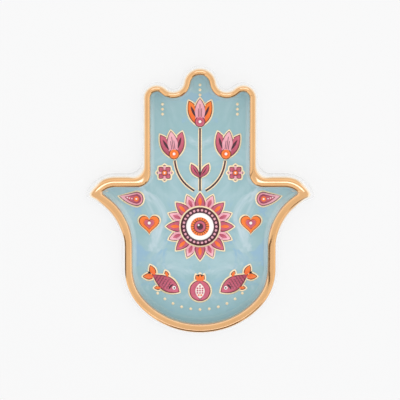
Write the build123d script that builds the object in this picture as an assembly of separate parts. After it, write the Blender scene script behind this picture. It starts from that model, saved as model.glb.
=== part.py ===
from build123d import *
import os
from math import cos, radians, sin, sqrt

# A shallow ceramic trinket dish in the shape of a hamsa hand. It lies on its foot ring with +Z up
# and the fingers towards +Y. The origin is under its middle, on the surface that it stands on.

# Plan of the hand; heights on the plan are measured from the heel
hand_length = 140.0            # heel to middle fingertip
hand_width = 119.0             # thumb tip to thumb tip
palm_width = 82.0
palm_corner_radius = 30.0
heel_flattening = 4.0          # the heel's radius over half of the palm's width
finger_block_width = 60.4
middle_finger_radius = 9.6
side_finger_radius = 8.0
side_finger_drop = 8.6         # side fingertips below the middle one
valley_share = 0.54            # depth of the valleys between fingers, against the fingers' spacing
finger_root_radius = 6.8       # hollow corner between thumb and fingers
thumb_top_height = 84.2
thumb_tip_height = 73.1
thumb_tip_radius = 2.1
thumb_floor_share = 0.443      # radius of the floor's curve under a thumb's top, against the thumb's reach
thumb_under_start = 11.2       # hollow curve from thumb to palm: its radius is this
thumb_under_share = 0.8        # and this share of the thumb's reach
inner_tip_radius = 1.2         # thumb tip where the gold ends inside

# Section of the wall; heights are above the surface that the dish stands on
dish_height = 18.0
widest_height = 8.0
gold_outer_height = 16.6       # lower edge of the gold, outside
gold_inner_height = 12.5       # lower edge of the gold, inside
floor_height = 6.0
palm_rim_width = 6.0           # from the outermost edge to the gold's inner edge
finger_rim_width = 4.7
thumb_rim_width = 6.7
cove_width = 2.0               # curve from the wall to the flat floor
glaze_thickness = 0.3

# Foot ring
foot_height = 1.5
foot_inset = 4.6               # from the outermost edge to the ring
foot_shoulder = 0.6            # flat step beside the ring
foot_width = 2.2

# Enamel transfers on the floor; heights are above the heel, drops below the middle fingertip
transfer_thickness = 0.2
transfer_margin = 0.8          # bare ground between a transfer and the cove or a stem
medallion_height = 56.0
medallion_radius = 18.0
medallion_disc_radius = 12.5
medallion_petal_count = 16
medallion_petal_length = 11.0
medallion_petal_width = 5.6
eye_radius = 7.4
tulip_share = 0.37             # tulip's length against the floor's length along a side finger
tulip_petal_width = 6.4
tulip_spread = 24.0            # degrees between neighbouring petals
tulip_lean = 8.0               # degrees that the side tulips turn outwards
side_tulip_rise = 3.0          # side tulips above the stars
side_tulip_gap = 1.6           # bare ground between a side tulip and the cove
stem_width = 1.0
stem_sag = 2.4                 # depth of the bend in a side stem
stem_spacing = 3.0             # side stems from the middle one, at their feet
leaf_length = 8.6
leaf_width = 3.4
leaf_spread = 68.0             # degrees between the two leaves
leaf_height = 7.0              # leaves above the foot of the middle stem
star_radius = 4.2
heart_height = 58.0
heart_lobe_radius = 3.0
heart_length = 10.0
fish_height = 26.0
fish_spacing = 36.0            # between the middles of the two fish
fish_tilt = 33.0
fish_body_length = 17.0
fish_body_width = 8.0
fish_tail_length = 6.5
fish_tail_width = 3.4
fish_tail_spread = 68.0
pomegranate_height = 22.0
pomegranate_radius = 5.6
crown_length = 5.0
crown_width = 2.4
crown_spread = 26.0
paisley_head_radius = 3.6
paisley_tail_reach = 9.0
paisley_tail_rise = 1.6
paisley_hollow = 0.9           # bend of the tail's upper side
paisley_belly = 0.9            # bend of the tail's lower side
paisley_setback = 10.5         # head from the middle of the thumb's top curve
dot_radius = 0.8
heel_dot_inset = 12.0
heel_dot_count = 11
heel_dot_pitch = 8.5           # degrees along the heel
finger_dot_count = 3           # in a row down each finger
finger_dot_pitch = 2.6
middle_dot_drop = 10.0
side_dot_drop = 20.0
side_dot_gap = 4.0             # side rows from the edge of the floor

heel = -hand_length / 2
fingertip = hand_length / 2
thumb_top = heel + thumb_top_height
palm_half = palm_width / 2
finger_half = finger_block_width / 2
thumb_reach = hand_width / 2 - palm_half
thumb_top_radius = thumb_rim_width + cove_width + thumb_floor_share * thumb_reach
thumb_under_radius = thumb_under_start + thumb_under_share * thumb_reach
side_finger_floor = fingertip - side_finger_drop - finger_rim_width - cove_width - thumb_top
tulip_length = tulip_share * side_finger_floor
heart_lobe_spacing = heart_lobe_radius * cos(radians(30))
crest_share = 0.5              # the crest stands halfway across the rim
crest_land_angle = 8.0         # the hollow starts this far over the crest's curve
section_angles = (22.5, 45.0, 67.5)


def meeting_point(centre_a, reach_a, centre_b, reach_b, side):
    """Point at one reach from each of two centres, left (1) or right (-1) of the line between them."""
    gap = centre_b - centre_a
    along = (reach_a**2 - reach_b**2 + gap.length**2) / (2 * gap.length)
    unit = gap.normalized()
    across = Vector(-unit.Y, unit.X) * sqrt(reach_a**2 - along**2)
    return centre_a + unit * along + across * side


def valley_circle():
    """Circle that touches the middle and the side fingertip and bottoms out at the valley's level."""
    level = fingertip - valley_share * side_centre.X
    middle_rise = level - middle_centre.Y
    side_rise = level - side_centre.Y
    middle_base = middle_finger_radius**2 - middle_rise**2
    side_base = side_finger_radius**2 - side_rise**2
    middle_slope = 2 * (middle_finger_radius - middle_rise)
    side_slope = 2 * (side_finger_radius - side_rise)
    start = (side_centre.X**2 + middle_base - side_base) / (2 * side_centre.X)
    rate = (middle_slope - side_slope) / (2 * side_centre.X)
    half_linear = start * rate - middle_slope / 2
    offset_term = start**2 - middle_base
    radius = offset_term / (-half_linear + sqrt(half_linear**2 - rate**2 * offset_term))
    return Vector(start + rate * radius, level + radius), radius


# Centres of the circles that make the right half of the hand
heel_radius = palm_half + heel_flattening
heel_centre = Vector(0, heel + heel_radius)
corner_x = palm_half - palm_corner_radius
corner_drop = sqrt((heel_radius - palm_corner_radius) ** 2 - corner_x**2)
corner_centre = Vector(corner_x, heel_centre.Y - corner_drop)
tip_x = hand_width / 2 - thumb_tip_radius
tip_y = heel + thumb_tip_height
under_x = palm_half + thumb_under_radius
under_drop = sqrt((thumb_under_radius + thumb_tip_radius) ** 2 - (under_x - tip_x) ** 2)
under_centre = Vector(under_x, tip_y - under_drop)
over_y = thumb_top - thumb_top_radius
over_reach = sqrt((thumb_top_radius - thumb_tip_radius) ** 2 - (over_y - tip_y) ** 2)
over_centre = Vector(tip_x - over_reach, over_y)
side_centre = Vector(
    finger_half - side_finger_radius,
    fingertip - side_finger_drop - side_finger_radius,
)
middle_centre = Vector(0, fingertip - middle_finger_radius)
valley_centre, valley_radius = valley_circle()


def towards(centre, target, radius):
    """Point on a circle in the direction of a target."""
    return centre + (target - centre).normalized() * radius


def hand_face(palm, thumb, finger, tip_radius, root_radius, height):
    """The hand's plan at a height, drawn in by one inset each for palm, thumbs and fingers."""
    right = Vector(1, 0)
    up = Vector(0, 1)
    under_radius = thumb_under_radius + palm
    over_radius = thumb_top_radius - thumb
    corner_radius = palm_corner_radius - palm
    side_radius = side_finger_radius - finger
    middle_radius = middle_finger_radius - finger
    tip_centre = meeting_point(
        under_centre, under_radius + tip_radius, over_centre, over_radius - tip_radius, -1
    )
    root_centre = Vector(finger_half - finger + root_radius, thumb_top - thumb + root_radius)

    # Tangent points from the heel up to the middle fingertip, each with the centre of the arc
    # that leads to the next one, or None where a straight line does
    stations = [
        (Vector(0, heel + palm), heel_centre),
        (corner_centre + (corner_centre - heel_centre).normalized() * corner_radius, corner_centre),
        (corner_centre + right * corner_radius, None),
        (under_centre - right * under_radius, under_centre),
        (towards(under_centre, tip_centre, under_radius), tip_centre),
        (towards(over_centre, tip_centre, over_radius), over_centre),
        (over_centre + up * over_radius, None),
        (root_centre - up * root_radius, root_centre),
        (root_centre - right * root_radius, None),
        (side_centre + right * side_radius, side_centre),
        (towards(side_centre, valley_centre, side_radius), valley_centre),
        (towards(middle_centre, valley_centre, middle_radius), middle_centre),
        (Vector(0, fingertip - finger), None),
    ]
    edges = []
    for (start, centre), (end, _) in zip(stations, stations[1:]):
        if centre is None:
            edges.append(Edge.make_line(start, end))
        else:
            middle = centre + ((start - centre) + (end - centre)).normalized() * (start - centre).length
            edges.append(Edge.make_three_point_arc(start, middle, end))
    edges += [edge.mirror(Plane.YZ) for edge in reversed(edges)]
    return Pos(0, 0, height) * Face(Wire(edges))


def wall_face(inset, height):
    """The plan drawn in evenly, for the outer wall below its widest level and for the foot."""
    return hand_face(inset, inset, inset, thumb_tip_radius, finger_root_radius + inset, height)


def rim_face(share, shift, height):
    """The plan part of the way across the rim, from its outermost edge (0) to the gold's inner edge (1)."""
    tip_radius = thumb_tip_radius + share * (inner_tip_radius - thumb_tip_radius)
    return hand_face(
        share * palm_rim_width + shift,
        share * thumb_rim_width + shift,
        share * finger_rim_width + shift,
        tip_radius,
        finger_root_radius,
        height,
    )


def cove_face(depth, height):
    """The plan drawn in evenly from the gold's inner edge."""
    return hand_face(
        palm_rim_width + depth,
        thumb_rim_width + depth,
        finger_rim_width + depth,
        inner_tip_radius,
        finger_root_radius + depth,
        height,
    )


def outer_form(skin):
    """Outside of the dish from the foot's level to the crest, thinned by a skin: two quarter ellipses."""
    wall_drop = widest_height - foot_height - skin
    lip_rise = dish_height - widest_height - skin
    wall_run = foot_inset - foot_shoulder
    faces = [wall_face(wall_run, widest_height - wall_drop)]
    for angle in reversed(section_angles):
        run, drop = 1 - cos(radians(angle)), sin(radians(angle))
        faces.append(wall_face(wall_run * run + skin * (1 - run), widest_height - wall_drop * drop))
    faces.append(rim_face(0, skin, widest_height))
    for angle in section_angles:
        run, rise = 1 - cos(radians(angle)), sin(radians(angle))
        faces.append(rim_face(crest_share * run, skin * (1 - run), widest_height + lip_rise * rise))
    faces.append(rim_face(crest_share, 0, dish_height - skin))
    return loft(faces)


def hollow_form(skin):
    """Hollow of the dish from the crest to the floor, widened by a skin: lip, then cove."""
    lip_drop = dish_height - gold_inner_height - skin
    cove_drop = gold_inner_height - floor_height + skin
    inner_share = 1 - crest_share
    land = sin(radians(crest_land_angle))
    faces = [rim_face(crest_share + inner_share * land, -skin * land, dish_height)]
    for angle in section_angles:
        run, rise = sin(radians(angle)), cos(radians(angle))
        faces.append(
            rim_face(crest_share + inner_share * run, -skin * run, gold_inner_height + lip_drop * rise)
        )
    faces.append(rim_face(1, -skin, gold_inner_height))
    for angle in section_angles:
        run, drop = 1 - cos(radians(angle)), sin(radians(angle))
        faces.append(cove_face(cove_width * run - skin * (1 - run), gold_inner_height - cove_drop * drop))
    faces.append(cove_face(cove_width, floor_height - skin))
    return loft(faces)


def above(part, height):
    """What of a part lies above a height."""
    return split(part, bisect_by=Plane.XY.offset(height), keep=Keep.TOP)


def below(part, height):
    """What of a part lies below a height."""
    return split(part, bisect_by=Plane.XY.offset(height), keep=Keep.BOTTOM)


def ceramic_pieces():
    """The cast body, and the glaze, gold and print that cover it."""
    ring_top = foot_height + glaze_thickness
    inside_foot = extrude(wall_face(foot_inset + foot_width, 0), ring_top)
    foot_ring = extrude(wall_face(foot_inset, 0), ring_top) - inside_foot
    finished = outer_form(0) - hollow_form(0)
    body = outer_form(glaze_thickness) - hollow_form(glaze_thickness) + foot_ring
    skin = finished - body

    middle_of_floor = (foot_height + floor_height) / 2
    inside_crest = extrude(rim_face(crest_share, 0, middle_of_floor), dish_height)
    inner_skin = skin & inside_crest
    outer_skin = skin - inside_crest
    white = below(outer_skin, gold_outer_height)
    return {
        "bisque_body": body,
        "outer_glaze": white - inside_foot,
        "base_glaze": white & inside_foot,
        "gold_rim": above(inner_skin, gold_inner_height) + above(outer_skin, gold_outer_height),
        "blue_ground": below(inner_skin, gold_inner_height),
    }


def blade(length, width):
    """Pointed leaf between two arcs, from the origin along +Y."""
    tip = (0, length)
    left = ThreePointArc((0, 0), (-width / 2, length / 2), tip)
    right = ThreePointArc(tip, (width / 2, length / 2), (0, 0))
    return make_face([left, right])


def fan(count, length, width, spread):
    """Blades that fan out from the origin about +Y, with a spread in degrees between neighbours."""
    first = -spread * (count - 1) / 2
    return Sketch() + [Rot(0, 0, first + spread * i) * blade(length, width) for i in range(count)]


def medallion():
    """Round flower with pointed petals."""
    petal = Pos(0, medallion_radius - medallion_petal_length) * blade(
        medallion_petal_length, medallion_petal_width
    )
    step = 360 / medallion_petal_count
    petals = [Rot(0, 0, step * i) * petal for i in range(medallion_petal_count)]
    return Circle(medallion_disc_radius) + petals


def tulip():
    """Three petals rising from a cup."""
    cup_radius = tulip_petal_width / 2
    return fan(3, tulip_length, tulip_petal_width, tulip_spread) + Pos(0, cup_radius) * Circle(cup_radius)


def heart():
    """Two lobes drawn down to one point."""
    lobes = Sketch()
    point = (0, heart_lobe_radius - heart_length)
    for side in (-1, 1):
        lobe = Pos(side * heart_lobe_spacing, 0) * Circle(heart_lobe_radius)
        lobes += make_hull([*lobe.edges(), *Line((0, 0), point).edges()])
    return lobes


def fish():
    """Pointed body with its head towards -X and a forked tail behind it."""
    half = fish_body_length / 2
    body = Pos(half, 0) * Rot(0, 0, 90) * blade(fish_body_length, fish_body_width)
    tail = fan(2, fish_tail_length, fish_tail_width, fish_tail_spread)
    return body + Pos(half - fish_tail_width / 2, 0) * Rot(0, 0, -90) * tail


def pomegranate():
    """Round fruit with a crown of three points."""
    crown = fan(3, crown_length, crown_width, crown_spread)
    return Circle(pomegranate_radius) + Pos(0, pomegranate_radius - crown_width / 2) * crown


def paisley():
    """Drop whose tail bends up along +X."""
    top = (0, paisley_head_radius)
    bottom = (0, -paisley_head_radius)
    tip = (paisley_tail_reach, paisley_tail_rise)
    middle = paisley_tail_reach / 2
    upper = ThreePointArc(top, (middle, (top[1] + tip[1]) / 2 - paisley_hollow), tip)
    lower = ThreePointArc(tip, (middle, (bottom[1] + tip[1]) / 2 - paisley_belly), bottom)
    return Circle(paisley_head_radius) + make_face([upper, lower, Line(bottom, top)])


def star():
    """Eight-pointed star of two squares."""
    return RegularPolygon(star_radius, 4) + Rot(0, 0, 45) * RegularPolygon(star_radius, 4)


def middle_stem(foot_y, tip_y):
    """Straight stem with a leaf on each side."""
    leaves = fan(2, leaf_length, leaf_width, leaf_spread)
    return trace(Line((0, foot_y), (0, tip_y)), stem_width) + Pos(0, foot_y + leaf_height) * leaves


def side_stem(foot, tip):
    """Stem that bows outwards on its way up."""
    run = (tip - foot).normalized()
    middle = (foot + tip) / 2 + Vector(run.Y, -run.X) * stem_sag
    return trace(ThreePointArc(foot, middle, tip), stem_width)


def dots(places):
    """Round dots at the given places."""
    return Sketch() + [Pos(*place) * Circle(dot_radius) for place in places]


def finger_dot_places(side_x):
    """A short row of places down each finger."""
    rows = [(-side_x, side_dot_drop), (0, middle_dot_drop), (side_x, side_dot_drop)]
    steps = [i * finger_dot_pitch for i in range(finger_dot_count)]
    return [(x, fingertip - drop - step) for x, drop in rows for step in steps]


def heel_dot_places():
    """Evenly spaced places along the curve of the heel."""
    radius = heel_radius - heel_dot_inset
    turns = [radians((i - (heel_dot_count - 1) / 2) * heel_dot_pitch) for i in range(heel_dot_count)]
    return [(radius * sin(turn), heel_centre.Y - radius * cos(turn)) for turn in turns]


def transfer_faces():
    """Plan of each motif, by name; the right one of a pair is drawn and the left one mirrors it."""
    palm_floor = palm_half - palm_rim_width - cove_width
    finger_floor = finger_half - finger_rim_width - cove_width
    thumb_floor_top = thumb_top - thumb_rim_width - cove_width
    medallion_y = heel + medallion_height
    stem_foot = medallion_y + medallion_radius + transfer_margin
    lowest_dot = fingertip - middle_dot_drop - (finger_dot_count - 1) * finger_dot_pitch - dot_radius
    middle_tulip_y = lowest_dot - transfer_margin - tulip_length
    tulip_half = tulip_length * sin(radians(tulip_spread + tulip_lean)) + transfer_margin
    side_tulip_y = thumb_top + star_radius + side_tulip_rise
    side_tulip = Vector(finger_floor - side_tulip_gap - tulip_half, side_tulip_y)
    faces = {
        "eye_medallion": Pos(0, medallion_y) * medallion(),
        "middle_tulip": Pos(0, middle_tulip_y) * tulip(),
        "middle_stem": middle_stem(stem_foot, middle_tulip_y - transfer_margin),
        "pomegranate": Pos(0, heel + pomegranate_height) * pomegranate(),
        "heel_dots": dots(heel_dot_places()),
        "finger_dots": dots(finger_dot_places(finger_floor - side_dot_gap)),
    }
    heart_x = palm_floor - transfer_margin - heart_lobe_spacing - heart_lobe_radius
    paisley_y = thumb_floor_top - transfer_margin - paisley_head_radius
    star_x = finger_floor - transfer_margin - star_radius
    right_faces = {
        "tulip": Pos(side_tulip.X, side_tulip.Y) * Rot(0, 0, -tulip_lean) * tulip(),
        "stem": side_stem(Vector(stem_spacing, stem_foot), side_tulip - Vector(0, transfer_margin)),
        "star": Pos(star_x, thumb_top) * star(),
        "heart": Pos(heart_x, heel + heart_height) * heart(),
        "paisley": Pos(over_centre.X - paisley_setback, paisley_y) * paisley(),
        "fish": Pos(fish_spacing / 2, heel + fish_height) * Rot(0, 0, fish_tilt) * fish(),
    }
    for name, face in right_faces.items():
        faces[f"right_{name}"] = face
        faces[f"left_{name}"] = mirror(face, about=Plane.YZ)
    return faces


pieces = ceramic_pieces()
for name, face in transfer_faces().items():
    pieces[name] = extrude(Pos(0, 0, floor_height) * face, transfer_thickness, dir=(0, 0, 1))
eye = Pos(0, heel + medallion_height, floor_height + transfer_thickness) * Circle(eye_radius)
pieces["medallion_eye"] = extrude(eye, transfer_thickness)

os.makedirs("parts", exist_ok=True)
for name, piece in pieces.items():
    export_step(piece, f"parts/{name}.step")
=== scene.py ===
import math

import bpy
import numpy as np
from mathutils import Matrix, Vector, geometry


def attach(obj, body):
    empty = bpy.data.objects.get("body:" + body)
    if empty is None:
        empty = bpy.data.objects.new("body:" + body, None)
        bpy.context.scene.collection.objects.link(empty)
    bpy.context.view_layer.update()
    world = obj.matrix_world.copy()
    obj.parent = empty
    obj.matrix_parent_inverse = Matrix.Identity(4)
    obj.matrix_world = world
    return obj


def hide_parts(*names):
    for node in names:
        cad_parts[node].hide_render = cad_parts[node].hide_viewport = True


# A glazed trinket dish in the shape of a hamsa hand. Plans and sections are in millimetres, meshes in metres.
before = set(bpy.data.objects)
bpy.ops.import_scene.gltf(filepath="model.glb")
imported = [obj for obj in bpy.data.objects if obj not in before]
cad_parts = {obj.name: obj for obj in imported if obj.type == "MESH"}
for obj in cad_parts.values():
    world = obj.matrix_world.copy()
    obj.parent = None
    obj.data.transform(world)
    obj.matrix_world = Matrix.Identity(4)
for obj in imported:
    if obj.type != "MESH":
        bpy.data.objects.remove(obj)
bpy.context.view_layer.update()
mm = 0.001
print("frame loaded, nodes:", len(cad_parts))

# The plan of the hand, with heights from the heel
hand = dict(
    length=140.0, width=119.0, palmWidth=82.0, palmCorner=30.0, heelFlattening=4.0,
    fingerBlock=60.4, middleRadius=9.6, sideRadius=8.0, sideDrop=8.6, valleyShare=0.54, rootRadius=6.8,
    thumbTop=84.2, thumbTip=73.1, tipRadius=2.1, innerTip=1.2,
    thumbFloorShare=0.443, thumbUnderStart=11.2, thumbUnderShare=0.8,
    spacing=0.7,  # between points along an outline
)
# The section of the wall, with heights from the table
wall = dict(
    height=18.0, widest=8.0, goldOuter=16.6, goldInner=12.5, floor=6.0, footHeight=1.5, footInset=4.6,
    footShoulder=0.6, palmRim=6.0, fingerRim=4.7, thumbRim=6.7, coveWidth=2.0, skin=0.3, crestShare=0.5,
    lipPower=8.0, lipSlant=0.16, lipRound=0.3,  # fullness of the lip's inner curve, and the slant of its top
    # the gold starts higher round the palm, more so on its left and less at the heel
    palmLift=0.68, palmSkew=0.15, palmSpan=(-8.0, -22.0), heelDrop=0.3, heelFrom=-50.0,
    # it starts lower on the thumbs, but for their tips
    thumbDrop=1.2, thumbSpan=(33.0, 39.0), tipLift=1.6, tipSpan=(50.0, 57.5),
    goldFade=2.1, palmFade=0.35,  # width of its thin outer edge, and round the palm
    innerHighlightFade=(4.8, 5.8), paintedInnerHighlight=0.3,  # a painted highlight, as pale as the thin edge, runs down the inner wall too, unless that faces the heel
)

heel, fingertip = -hand["length"] / 2, hand["length"] / 2
thumbTop = heel + hand["thumbTop"]
palmHalf, fingerHalf = hand["palmWidth"] / 2, hand["fingerBlock"] / 2
thumbReach = hand["width"] / 2 - palmHalf
overRadius = wall["thumbRim"] + wall["coveWidth"] + hand["thumbFloorShare"] * thumbReach
underRadius = hand["thumbUnderStart"] + hand["thumbUnderShare"] * thumbReach


def unit(vector):
    return vector / np.linalg.norm(vector, axis=-1, keepdims=True)


# Points with these x and y, each a number or an array
def atXY(x, y):
    return np.stack(np.broadcast_arrays(x, y), -1).astype(float)


# Centre of the circle that touches both fingertip circles and bottoms out at the valley's level
def findValley(middle, side):
    level = fingertip - hand["valleyShare"] * side[0]
    radii = np.array([hand["middleRadius"], hand["sideRadius"]])
    rises = level - np.array([middle[1], side[1]])
    bases, slopes = radii ** 2 - rises ** 2, 2 * (radii - rises)
    start = (side[0] ** 2 + bases[0] - bases[1]) / (2 * side[0])
    rate = (slopes[0] - slopes[1]) / (2 * side[0])
    turn = start * rate - slopes[0] / 2
    offset = start ** 2 - bases[0]
    radius = offset / (-turn + math.sqrt(turn ** 2 - rate ** 2 * offset))
    return atXY(start + rate * radius, level + radius)


heelRadius = palmHalf + hand["heelFlattening"]
heelCentre = atXY(0, heel + heelRadius)
cornerX = palmHalf - hand["palmCorner"]
cornerDrop = math.sqrt((heelRadius - hand["palmCorner"]) ** 2 - cornerX ** 2)
cornerCentre = atXY(cornerX, heelCentre[1] - cornerDrop)
tipX, tipY = hand["width"] / 2 - hand["tipRadius"], heel + hand["thumbTip"]
underX = palmHalf + underRadius
underDrop = math.sqrt((underRadius + hand["tipRadius"]) ** 2 - (underX - tipX) ** 2)
underCentre = atXY(underX, tipY - underDrop)
overY = thumbTop - overRadius
overCentre = atXY(tipX - math.sqrt((overRadius - hand["tipRadius"]) ** 2 - (overY - tipY) ** 2), overY)
sideCentre = atXY(fingerHalf - hand["sideRadius"], fingertip - hand["sideDrop"] - hand["sideRadius"])
middleCentre = atXY(0, fingertip - hand["middleRadius"])
valleyCentre = findValley(middleCentre, sideCentre)


# Tangent points of the right half, heel to fingertip, for arrays of insets; each with the centre of the arc
# that leads on, or None before a straight line
def handStations(palm, thumb, finger, tip, root):
    right, up = np.eye(2)
    under, over = (underRadius + palm)[:, None], (overRadius - thumb)[:, None]
    corner, side = (hand["palmCorner"] - palm)[:, None], (hand["sideRadius"] - finger)[:, None]
    middle, rootR = (hand["middleRadius"] - finger)[:, None], root[:, None]
    # the thumb tip's centre lies at one reach from each of the two thumb circles
    reachA, reachB = under[:, 0] + tip, over[:, 0] - tip
    gap = overCentre - underCentre
    span = np.hypot(*gap)
    along = (reachA ** 2 - reachB ** 2 + span ** 2) / (2 * span)
    across = np.sqrt(np.maximum(reachA ** 2 - along ** 2, 0))
    aside = atXY(gap[1], -gap[0])
    tipCentre = underCentre + along[:, None] * gap / span + across[:, None] * aside / span
    rootCentre = atXY(fingerHalf - finger + root, thumbTop - thumb + root)
    return [
        (atXY(0, heel + palm), heelCentre),
        (cornerCentre + unit(cornerCentre - heelCentre) * corner, cornerCentre),
        (cornerCentre + right * corner, None),
        (underCentre - right * under, underCentre),
        (underCentre + unit(tipCentre - underCentre) * under, tipCentre),
        (overCentre + unit(tipCentre - overCentre) * over, overCentre),
        (overCentre + up * over, None),
        (rootCentre - up * rootR, rootCentre),
        (rootCentre - right * rootR, None),
        (sideCentre + right * side, sideCentre),
        (sideCentre + unit(valleyCentre - sideCentre) * side, valleyCentre),
        (middleCentre + unit(valleyCentre - middleCentre) * middle, middleCentre),
        (atXY(0, fingertip - finger), None),
    ]


# One segment of an outline at shares t: a straight line, or the shorter arc about its centre
def segmentPoints(start, end, centre, t):
    if centre is None:
        return start[:, None] + (end - start)[:, None] * t[:, None]
    radius = np.linalg.norm(start - centre, axis=1)[:, None]
    first = np.arctan2(*(start - centre).T[::-1])
    last = np.arctan2(*(end - centre).T[::-1])
    turn = (last - first + math.pi) % (2 * math.pi) - math.pi
    angle = first[:, None] + turn[:, None] * t
    centre = np.broadcast_to(centre, start.shape)
    return centre[:, None] + atXY(radius * np.cos(angle), radius * np.sin(angle))


# Closed outlines, (levels, points, 2), for arrays of insets of palm, thumb and finger and of radii of thumb
# tip and root: the right half goes up and its mirror comes down
def handRings(*arrays):
    stations = handStations(*np.broadcast_arrays(*np.atleast_1d(*arrays)))
    half = []
    for (start, centre), (end, _), count in zip(stations, stations[1:], ringCounts):
        half.append(segmentPoints(start, end, centre, np.arange(count) / count))
    right = np.concatenate(half + [stations[-1][0][:, None]], 1)
    return np.concatenate([right, right[:, -2:0:-1] * [-1, 1]], 1)


# Points in each segment, from its length on the outermost outline
def countRingPoints():
    zero = np.zeros(1)
    stations = handStations(zero, zero, zero, zero + hand["tipRadius"], zero + hand["rootRadius"])
    counts = []
    for (start, centre), (end, _) in zip(stations, stations[1:]):
        points = segmentPoints(start, end, centre, np.linspace(0, 1, 30))[0]
        length = np.linalg.norm(np.diff(points, axis=0), axis=1).sum()
        counts.append(max(8, math.ceil(length / hand["spacing"])))
    return counts


ringCounts = countRingPoints()


# Outline part of the way across the rim, 0 at the outermost edge and 1 at the gold's inner edge, drawn in by
# a shift. The radius of the thumb roots grows by a share of it
def rimRings(share, shift=0.0, growth=0.0):
    share, shift = np.asarray(share, float), np.asarray(shift, float)
    insets = (share * wall[part] + shift for part in ("palmRim", "thumbRim", "fingerRim"))
    tip = hand["tipRadius"] + share * (hand["innerTip"] - hand["tipRadius"])
    return handRings(*insets, tip, hand["rootRadius"] + growth * shift)


# Outlines drawn in evenly from the outermost edge, and from the gold's inner edge
def wallRings(inset):
    return rimRings(0.0, inset, 1.0)


def coveRings(depth):
    return rimRings(1.0, depth, 1.0)


# Points of a plan, (rows, columns, 2), with heights that fit its rows and columns
def lift(plan, heights):
    return np.concatenate([plan, np.broadcast_to(heights, plan.shape[:2])[..., None]], 2)


# Faces of a grid of rows and columns, closed along the columns and, if wanted, along the rows
def gridFaces(rows, columns, closedRows=False):
    i = np.arange(rows if closedRows else rows - 1)[:, None]
    j = np.arange(columns)
    row, nextRow, nextJ = i * columns, (i + 1) % rows * columns, (j + 1) % columns
    corners = np.broadcast_arrays(row + j, row + nextJ, nextRow + nextJ, nextRow + j)
    return np.stack(corners, -1).reshape(-1, 4)


def addObject(name, data):
    holder = bpy.data.objects.new(name, data)
    bpy.context.scene.collection.objects.link(holder)
    return holder


def makePiece(name, points, faces, materials, node, inkIndex=None, values=None):
    mesh = bpy.data.meshes.new(name)
    mesh.from_pydata((np.asarray(points) * mm).tolist(), [], [list(face) for face in faces])
    for material in materials:
        mesh.materials.append(material)
    if inkIndex is not None:
        mesh.polygons.foreach_set("material_index", np.asarray(inkIndex, np.int32))
    for label, numbers in (values or {}).items():
        attribute = mesh.attributes.new(label, "FLOAT", "POINT")
        attribute.data.foreach_set("value", np.asarray(numbers, np.float32))
    mesh.shade_smooth()
    mesh.update()
    piece = addObject(name, mesh)
    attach(piece, "root")
    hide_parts(node)


# Linear colour of red, green and blue from 0 to 255
def linear(red, green, blue):
    channel = np.array([red, green, blue]) / 255.0
    value = np.where(channel <= 0.04045, channel / 12.92, ((channel + 0.055) / 1.055) ** 2.4)
    return (*value.tolist(), 1.0)


def setSocket(socket, value):
    if isinstance(value, bpy.types.NodeSocket):
        socket.id_data.links.new(value, socket)
    else:
        socket.default_value = value


def setSockets(node, **values):
    for label, value in values.items():
        setSocket(node.inputs[label.replace("_", " ")], value)


# A new node in the tree of another node or of a socket
def addNode(near, kind, sockets=(), **settings):
    node = near.id_data.nodes.new("ShaderNode" + kind)
    for label, value in settings.items():
        setattr(node, label, value)
    for label, value in dict(sockets).items():
        setSocket(node.inputs[label], value)
    return node


def splitAxes(vector):
    return addNode(vector, "SeparateXYZ", {"Vector": vector}).outputs


def pointValue(near, name):
    return addNode(near, "Attribute", attribute_name=name).outputs["Fac"]


def calculate(operation, first, second=0.0, **settings):
    return addNode(first, "Math", {0: first, 1: second}, operation=operation, **settings).outputs[0]


def product(first, *others):
    for other in others:
        first = calculate("MULTIPLY", first, other)
    return first


def noise(vector, scale, detail=3.0, roughness=0.55, distortion=0.0):
    sockets = dict(Vector=vector, Scale=scale, Detail=detail, Roughness=roughness, Distortion=distortion)
    return addNode(vector, "TexNoise", sockets).outputs["Fac"]


def spread(value, low, high, toLow=0.0, toHigh=1.0):
    sockets = {"Value": value, "From Min": low, "From Max": high, "To Min": toLow, "To Max": toHigh}
    return addNode(value, "MapRange", sockets, interpolation_type="SMOOTHSTEP").outputs["Result"]


# A colour is a socket, or red, green and blue from 0 to 255
def mixColours(factor, first, second):
    node = addNode(factor, "Mix", {0: factor}, data_type="RGBA")
    for index, value in ((6, first), (7, second)):
        setSocket(node.inputs[index], linear(*value) if isinstance(value, tuple) else value)
    return node.outputs[2]


# Its relief is the scale and detail of a noise, then the strength and distance of the bump
def newMaterial(name, relief=None, **values):
    material = bpy.data.materials.new(name)
    material.use_nodes = True
    shader = material.node_tree.nodes["Principled BSDF"]
    setSockets(shader, **values)
    place = addNode(shader, "TexCoord").outputs["Object"]
    if relief:
        scale, detail, strength, distance = relief
        sockets = {"Height": noise(place, scale, detail), "Strength": strength, "Distance": distance}
        setSockets(shader, Normal=addNode(place, "Bump", sockets).outputs["Normal"])
    return material, shader, place


# low is a painted shade: a greyer white for the lower outer wall, fading out over the heights of its span
glaze = dict(deep=(247, 246, 245), pale=(251, 250, 249), clouds=60.0, relief=(140.0, 3.0, 0.05, 0.0004),
             low=(231, 231, 229), paintedShadeSpan=(0.010, 0.0145), coat=(1.0, 0.25), gloss=(0.5, 0.15))


# White glaze: gloss over a faintly clouded white, duller low on the wall, where it is also painted greyer as
# a painted shade along the wall's lower edge
def whiteGlaze():
    material, shader, place = newMaterial("whiteGlaze", glaze["relief"], Roughness=0.12, Coat_Roughness=0.04)
    white = mixColours(noise(place, glaze["clouds"]), glaze["deep"], glaze["pale"])
    # painted shade: below these heights the white turns greyer and the glaze less glossy
    low = spread(splitAxes(place)["Z"], *glaze["paintedShadeSpan"], 1.0, 0.0)
    setSockets(shader, Base_Color=mixColours(low, white, glaze["low"]),
               Coat_Weight=spread(low, 0.0, 1.0, *glaze["coat"]),
               Specular_IOR_Level=spread(low, 0.0, 1.0, *glaze["gloss"]))
    return material


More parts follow.
